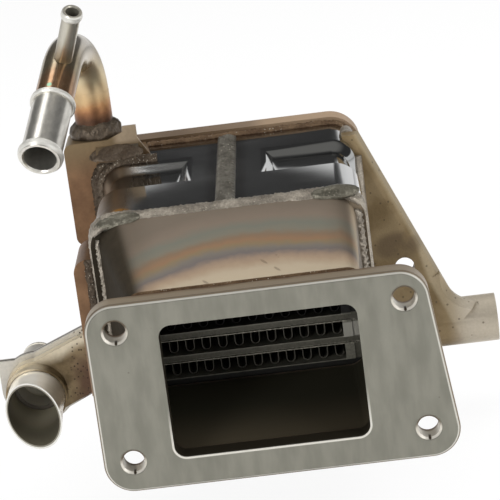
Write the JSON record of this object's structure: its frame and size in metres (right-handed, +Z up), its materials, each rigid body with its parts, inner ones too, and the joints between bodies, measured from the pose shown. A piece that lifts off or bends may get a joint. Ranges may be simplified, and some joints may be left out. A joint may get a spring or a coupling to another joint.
{
  "type": "exhaust gas cooler",
  "caption": "Welded steel exhaust gas cooler: a bolted flange and flared duct feed finned flat tubes in a stamped shell, with coolant pipes on one side and a bracket on the other.",
  "frame": {"origin": "centre of the gas port on the mating face of the inlet flange", "axes": "-Y out of the mating face, +Y along the body to the gas outlet, +Z up to the side with the seam weld, +X to the bracket"},
  "size_m": [0.2205, 0.233, 0.1901],
  "materials": {
    "flange_steel": "satin, ground flat",
    "duct_steel": "satin with heat tint",
    "shell_steel": "polished",
    "weld_steel": "rough weld bead",
    "core_steel": "brazed, dull",
    "pan_steel": "satin with brown heat tint",
    "tube_steel": "polished with gold heat tint",
    "bright_steel": "satin, turned",
    "arm_steel": "satin with light heat tint",
    "cast_steel": "stained, as cast"
  },
  "bodies": {
    "root": {"inlet_flange": "flange_steel", "inlet_diffuser": "duct_steel", "flange_weld": "weld_steel", "side_welds": "weld_steel", "front_weld": "weld_steel", "front_header": "core_steel", "rear_header": "core_steel", "shell": "shell_steel", "seam_weld": "weld_steel", "gas_tube_1": "core_steel", "gas_tube_2": "core_steel", "gas_tube_3": "core_steel", "gas_tube_4": "core_steel", "gas_tube_5": "core_steel", "gas_tube_6": "core_steel", "gas_tube_7": "core_steel", "gas_fin_1": "core_steel", "gas_fin_2": "core_steel", "gas_fin_3": "core_steel", "gas_fin_4": "core_steel", "gas_fin_5": "core_steel", "gas_fin_6": "core_steel", "gas_fin_7": "core_steel", "outlet_tank": "duct_steel", "rear_weld": "weld_steel", "outlet_ring": "bright_steel", "outlet_pan": "pan_steel", "tube_collar": "weld_steel", "outlet_tube": "tube_steel", "hose_end": "bright_steel", "vent_nipple": "bright_steel", "inlet_pan": "pan_steel", "inlet_arm_front": "arm_steel", "inlet_arm_rear": "arm_steel", "inlet_stub": "bright_steel", "mounting_bracket": "cast_steel", "bracket_weld": "weld_steel"}
  },
  "joints": []
}
